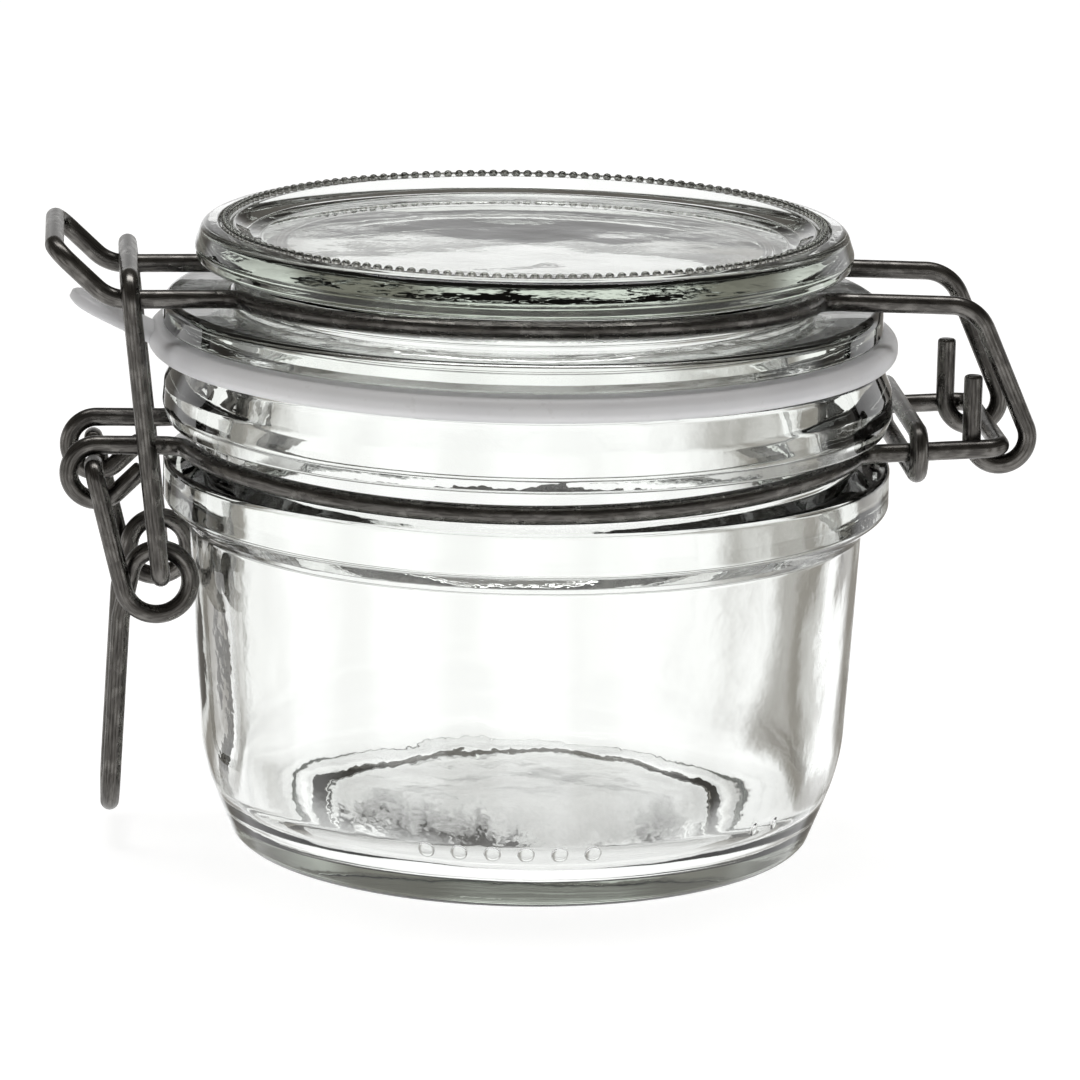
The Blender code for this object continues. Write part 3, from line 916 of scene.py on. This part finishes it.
class ClipJarColours(bpy.types.PropertyGroup):
    """Colours of the glass, the ring and the wire."""

    glass: bpy.props.FloatVectorProperty(
        name="Glass",
        description="Colour of the glass at its surface",
        default=(0.985, 0.99, 0.985),
        subtype="COLOR",
        min=0,
        max=1,
    )
    glass_depth: bpy.props.FloatVectorProperty(
        name="Glass Depth",
        description="Colour that the glass keeps where it is thick",
        default=(0.74, 0.79, 0.72),
        subtype="COLOR",
        min=0,
        max=1,
    )
    glass_density: bpy.props.FloatProperty(
        name="Glass Density",
        description="How soon thick glass darkens, for each metre",
        default=24.0,
        min=0,
    )
    bead_clear: bpy.props.FloatVectorProperty(
        name="Beads, Clear",
        description="Colour of the beads and dots where they are clean",
        default=(0.62, 0.62, 0.59),
        subtype="COLOR",
        min=0,
        max=1,
    )
    bead_dull: bpy.props.FloatVectorProperty(
        name="Beads, Dull",
        description="Colour of the beads and dots where dust dulls their seams",
        default=(0.40, 0.40, 0.38),
        subtype="COLOR",
        min=0,
        max=1,
    )
    rubber_light: bpy.props.FloatVectorProperty(
        name="Ring, Pale",
        description="Pale clouds of the milky ring",
        default=(0.80, 0.80, 0.81),
        subtype="COLOR",
        min=0,
        max=1,
    )
    rubber_dark: bpy.props.FloatVectorProperty(
        name="Ring, Dull",
        description="Dull clouds of the milky ring",
        default=(0.70, 0.70, 0.72),
        subtype="COLOR",
        min=0,
        max=1,
    )
    steel_dark: bpy.props.FloatVectorProperty(
        name="Wire, Dark",
        description="Dark drawn lines of the wire",
        default=(0.07, 0.066, 0.062),
        subtype="COLOR",
        min=0,
        max=1,
    )
    steel_light: bpy.props.FloatVectorProperty(
        name="Wire, Pale",
        description="Pale drawn lines of the wire",
        default=(0.155, 0.148, 0.138),
        subtype="COLOR",
        min=0,
        max=1,
    )
    steel_rubbed: bpy.props.FloatVectorProperty(
        name="Wire, Rubbed",
        description="Where the wire is rubbed bright",
        default=(0.27, 0.26, 0.245),
        subtype="COLOR",
        min=0,
        max=1,
    )


class ClipJarStudio(bpy.types.PropertyGroup):
    """Light, floor and lens of the studio."""

    panel_light: bpy.props.FloatProperty(
        name="Panels",
        description="Brightness of the tall pale panels round the table",
        default=1.15,
        min=0,
    )
    dull_colour: bpy.props.FloatVectorProperty(
        name="Dull Colour",
        description="Colour of the gaps between the panels and of the ceiling",
        default=(1.0, 0.94, 0.85),
        subtype="COLOR",
        min=0,
        max=1,
    )
    ceiling_light: bpy.props.FloatProperty(
        name="Ceiling",
        description="Brightness of the dull ceiling over the table",
        default=0.12,
        min=0,
    )
    gap_light: bpy.props.FloatProperty(
        name="Gaps",
        description="Brightness of the dull gaps between the panels",
        default=0.30,
        min=0,
    )
    floor_light: bpy.props.FloatProperty(
        name="Floor",
        description="Light that the pale table gives of its own",
        default=0.86,
        min=0,
    )
    lens: bpy.props.FloatProperty(
        name="Lens",
        description="Focal length of the camera in millimetres",
        default=200.93,
        min=10,
    )


def sizes():
    return bpy.context.scene.clip_jar_sizes


def colours():
    return bpy.context.scene.clip_jar_colours


def glass():
    return finish_of("pressed_glass", glass_finish)


def beads():
    return finish_of("beaded_glass", bead_finish)


def build_wire(name, path, body, node, closed=False):
    material = finish_of("drawn_wire", steel_finish)
    mesh = wire_mesh(name, path, sizes().wire / MM / 2, sizes().wire_sides, closed)
    return set_piece(name, mesh, material, body, [node])


class CLIPJAR_OT_glass_jar(bpy.types.Operator):
    """Build the pressed glass jar"""

    bl_idname = "clipjar.glass_jar"
    bl_label = "Glass Jar"

    def execute(self, context):
        depth = sizes().wave_depth / MM

        def wave(point, place):
            outward = Vector((place.x, place.y, 0)).normalized()
            in_bore = point.x < BORE_RADIUS + 0.01 and point.z > FLOOR_Z - 1
            roll = bore_wave(point.x, point.z, depth) if in_bore else 0
            moved = place + outward * pressed_wave(place, roll)
            if in_bore and point.z < FLOOR_Z + 2:
                moved.z += pressed_wave(place, depth * FLOOR_SHARE)
            return moved

        mesh = turned_mesh("jar_glass", jar_profile(), sizes().glass_steps, wave=wave)
        set_piece("jar_glass", mesh, glass(), "jar", ["glass_jar"], JAR_X)
        return {"FINISHED"}


class CLIPJAR_OT_glass_lid(bpy.types.Operator):
    """Build the pressed glass lid"""

    bl_idname = "clipjar.glass_lid"
    bl_label = "Glass Lid"

    def execute(self, context):
        mesh = turned_mesh("lid_glass", lid_profile(), sizes().glass_steps)
        set_piece("lid_glass", mesh, glass(), "lid", ["glass_lid"])
        return {"FINISHED"}


class CLIPJAR_OT_beads(bpy.types.Operator):
    """Set the ring of beads on the lid's rim and the dots at the jar's heel"""

    bl_idname = "clipjar.beads"
    bl_label = "Beads and Dots"

    def execute(self, context):
        given = sizes()
        rise = BEAD_RING_TOP_Z - BEAD_SEAT_Z - BEAD_GAP
        ring = {
            "Count": given.bead_count,
            "Segments": BEAD_SEGMENTS,
            "Rings": BEAD_RINGS,
            "Arc Radius": BEAD_RING_RADIUS,
            "Height": BEAD_SEAT_Z + BEAD_GAP + rise / 2,
            "Start Angle": 0.0,
            "Step Angle": 2 * math.pi / given.bead_count,
            "Lean": 0.0,
            "Depth": given.bead_width / MM,
            "Width": given.bead_width / MM,
            "Rise": rise,
            "Finish": beads(),
        }
        set_piece("lid_beads", beads_mesh("lid_beads", ring), beads(), "lid")
        for name, count, height, start, step, width, tall in HEEL_DOTS:
            lean = math.atan(wall_radius(height + 0.5) - wall_radius(height - 0.5))
            dots = {
                "Count": count,
                "Segments": DOT_SEGMENTS,
                "Rings": DOT_RINGS,
                "Arc Radius": wall_radius(height) + DOT_DEPTH / 2 + BEAD_GAP,
                "Height": height,
                "Start Angle": math.radians(start),
                "Step Angle": math.radians(step),
                "Lean": lean,
                "Depth": DOT_DEPTH,
                "Width": width,
                "Rise": tall,
                "Finish": glass(),
            }
            set_piece(name, beads_mesh(name, dots), glass(), "jar", (), JAR_X)
        return {"FINISHED"}


class CLIPJAR_OT_gasket(bpy.types.Operator):
    """Build the milky ring and its pull tab"""

    bl_idname = "clipjar.gasket"
    bl_label = "Ring and Tab"

    def execute(self, context):
        rubber = finish_of("milky_silicone", rubber_finish)
        ring = turned_mesh("gasket_ring", gasket_profile(), GASKET_STEPS, closed=True)
        set_piece("gasket_ring", ring, rubber, "jar", ["gasket"])
        set_piece("gasket_tab", tab_mesh("gasket_tab"), rubber, "jar")
        return {"FINISHED"}


class CLIPJAR_OT_wires(bpy.types.Operator):
    """Build the wires of the neck, the lid, the lever and the bail"""

    bl_idname = "clipjar.wires"
    bl_label = "Wires"

    def execute(self, context):
        build_wire("neck_wire_round", neck_wire_path(), "jar", "neck_wire")
        build_wire("tie_link_round", tie_link_path(), "jar", "tie_link", closed=True)
        build_wire("lid_wire_round", lid_wire_path(), "lid", "lid_wire")
        build_wire("lever_round", lever_path(), "lever", "lever")
        build_wire("lock_bail_round", bail_path(), "bail", "lock_bail")
        return {"FINISHED"}


class CLIPJAR_OT_studio(bpy.types.Operator):
    """Set the pale table, the soft light and the camera"""

    bl_idname = "clipjar.studio"
    bl_label = "Studio"

    def execute(self, context):
        studio = context.scene.clip_jar_studio
        add_floor(studio)
        add_world(studio)
        add_top_light()
        add_camera(studio)
        return {"FINISHED"}


def add_floor(studio):
    """A round pale table under the jar, lit a little from below."""
    shape = bmesh.new()
    bmesh.ops.create_circle(shape, cap_ends=True, segments=TABLE_SIDES, radius=TABLE_RADIUS)
    mesh = bpy.data.meshes.new("pale_table")
    shape.to_mesh(mesh)
    shape.free()
    floor = bpy.data.objects.new("pale_table", mesh)
    bpy.context.scene.collection.objects.link(floor)
    floor.location.z = -TABLE_DROP
    material, tree, shader = new_finish("pale_table")
    shader.inputs["Base Color"].default_value = TABLE_COLOUR
    shader.inputs["Roughness"].default_value = 0.9
    shader.inputs["Specular IOR Level"].default_value = 0.0
    shader.inputs["Emission Color"].default_value = WHITE
    shader.inputs["Emission Strength"].default_value = studio.floor_light
    seen = tree.node("ShaderNodeLightPath", {}, {}, "Is Camera Ray")
    clear = tree.node("ShaderNodeBsdfTransparent", {}, {})
    surface = Signal(tree, shader.outputs["BSDF"])
    both = tree.node("ShaderNodeMixShader", {}, {0: seen, 1: clear, 2: surface})
    tree.feed(both, material.node_tree.nodes["Material Output"].inputs["Surface"])
    mesh.materials.append(material)


def add_world(studio):
    """Soft pale panels round the table with dull gaps between, a pale sweep and a dull ceiling."""
    world = bpy.data.worlds.new("studio")
    world.use_nodes = True
    tree = Tree(world.node_tree)
    toward = tree.node("ShaderNodeTexCoord", {}, {}, "Generated")
    split = tree.node("ShaderNodeSeparateXYZ", {}, {"Vector": toward}).socket.node
    across = Signal(tree, split.outputs["X"])
    ahead = Signal(tree, split.outputs["Y"])
    height = Signal(tree, split.outputs["Z"])
    heading = tree.node("ShaderNodeMath", {"operation": "ARCTAN2"}, {0: across, 1: ahead})
    swing = tree.node("ShaderNodeMath", {"operation": "COSINE"}, {0: heading * PANEL_COUNT})
    panel = tree.smooth(swing, *PANEL_EDGE)
    ceiling = tree.smooth(height, *CEILING_EDGE)
    sweep = 1 - tree.smooth(height, *SWEEP_EDGE)
    pale_colour = (*[studio.panel_light] * 3, 1)
    gap_colour = (*[value * studio.gap_light for value in studio.dull_colour], 1)
    ceiling_colour = (*[value * studio.ceiling_light for value in studio.dull_colour], 1)
    walls = tree.mixed(panel, gap_colour, pale_colour)
    room = tree.mixed(sweep, tree.mixed(ceiling, walls, ceiling_colour), pale_colour)
    seen = tree.node("ShaderNodeLightPath", {}, {}, "Is Camera Ray")
    background = world.node_tree.nodes["Background"]
    tree.feed(tree.mixed(seen, room, WHITE), background.inputs["Color"])
    bpy.context.scene.world = world


def add_top_light():
    """One wide soft light overhead, a little behind the jar."""
    data = bpy.data.lights.new("top_light", "AREA")
    data.shape = "RECTANGLE"
    data.size = TOP_LIGHT_WIDTH
    data.size_y = TOP_LIGHT_DEPTH
    data.energy = TOP_LIGHT_POWER
    light = bpy.data.objects.new("top_light", data)
    light.location = TOP_LIGHT_PLACE
    light.rotation_euler = (TOP_LIGHT_TILT, 0, 0)
    bpy.context.scene.collection.objects.link(light)


def add_camera(studio):
    data = bpy.data.cameras.new("camera")
    data.sensor_width = SENSOR_WIDTH
    data.lens = studio.lens
    data.clip_start = CAMERA_NEAR
    data.clip_end = CAMERA_FAR
    camera = bpy.data.objects.new("camera", data)
    turn = Matrix((CAMERA_RIGHT, CAMERA_UP, [-value for value in CAMERA_FORWARD])).transposed()
    camera.matrix_world = Matrix.Translation(CAMERA_PLACE) @ turn.to_4x4()
    bpy.context.scene.collection.objects.link(camera)
    bpy.context.scene.camera = camera
    bpy.context.scene.view_settings.view_transform = "Standard"
    cycles = bpy.context.scene.cycles
    cycles.use_denoising = True
    cycles.max_bounces = GLASS_BOUNCES
    cycles.transmission_bounces = GLASS_BOUNCES


BUILDERS = (
    CLIPJAR_OT_glass_jar,
    CLIPJAR_OT_glass_lid,
    CLIPJAR_OT_beads,
    CLIPJAR_OT_gasket,
    CLIPJAR_OT_wires,
    CLIPJAR_OT_studio,
)
SETTINGS = {
    "clip_jar_sizes": ClipJarSizes,
    "clip_jar_colours": ClipJarColours,
    "clip_jar_studio": ClipJarStudio,
}


class CLIPJAR_PT_panel(bpy.types.Panel):
    """Lists the builders and the settings of the jar"""

    bl_idname = "CLIPJAR_PT_panel"
    bl_label = "Clip Top Jar"
    bl_space_type = "VIEW_3D"
    bl_region_type = "UI"
    bl_category = "Clip Jar"

    def draw(self, context):
        for builder in BUILDERS:
            self.layout.operator(builder.bl_idname)
        for name, group in SETTINGS.items():
            column = self.layout.column(align=True)
            for key in group.__annotations__:
                column.prop(getattr(context.scene, name), key)


def register():
    for group in SETTINGS.values():
        bpy.utils.register_class(group)
    for builder in BUILDERS:
        bpy.utils.register_class(builder)
    bpy.utils.register_class(CLIPJAR_PT_panel)
    for name, group in SETTINGS.items():
        setattr(bpy.types.Scene, name, bpy.props.PointerProperty(type=group))


def unregister():
    for name in SETTINGS:
        delattr(bpy.types.Scene, name)
    bpy.utils.unregister_class(CLIPJAR_PT_panel)
    for builder in reversed(BUILDERS):
        bpy.utils.unregister_class(builder)
    for group in SETTINGS.values():
        bpy.utils.unregister_class(group)


def main():
    register()
    bpy.ops.clipjar.glass_jar()
    bpy.ops.clipjar.glass_lid()
    bpy.ops.clipjar.beads()
    bpy.ops.clipjar.gasket()
    bpy.ops.clipjar.wires()
    bpy.ops.clipjar.studio()


if __name__ == "__main__":
    main()
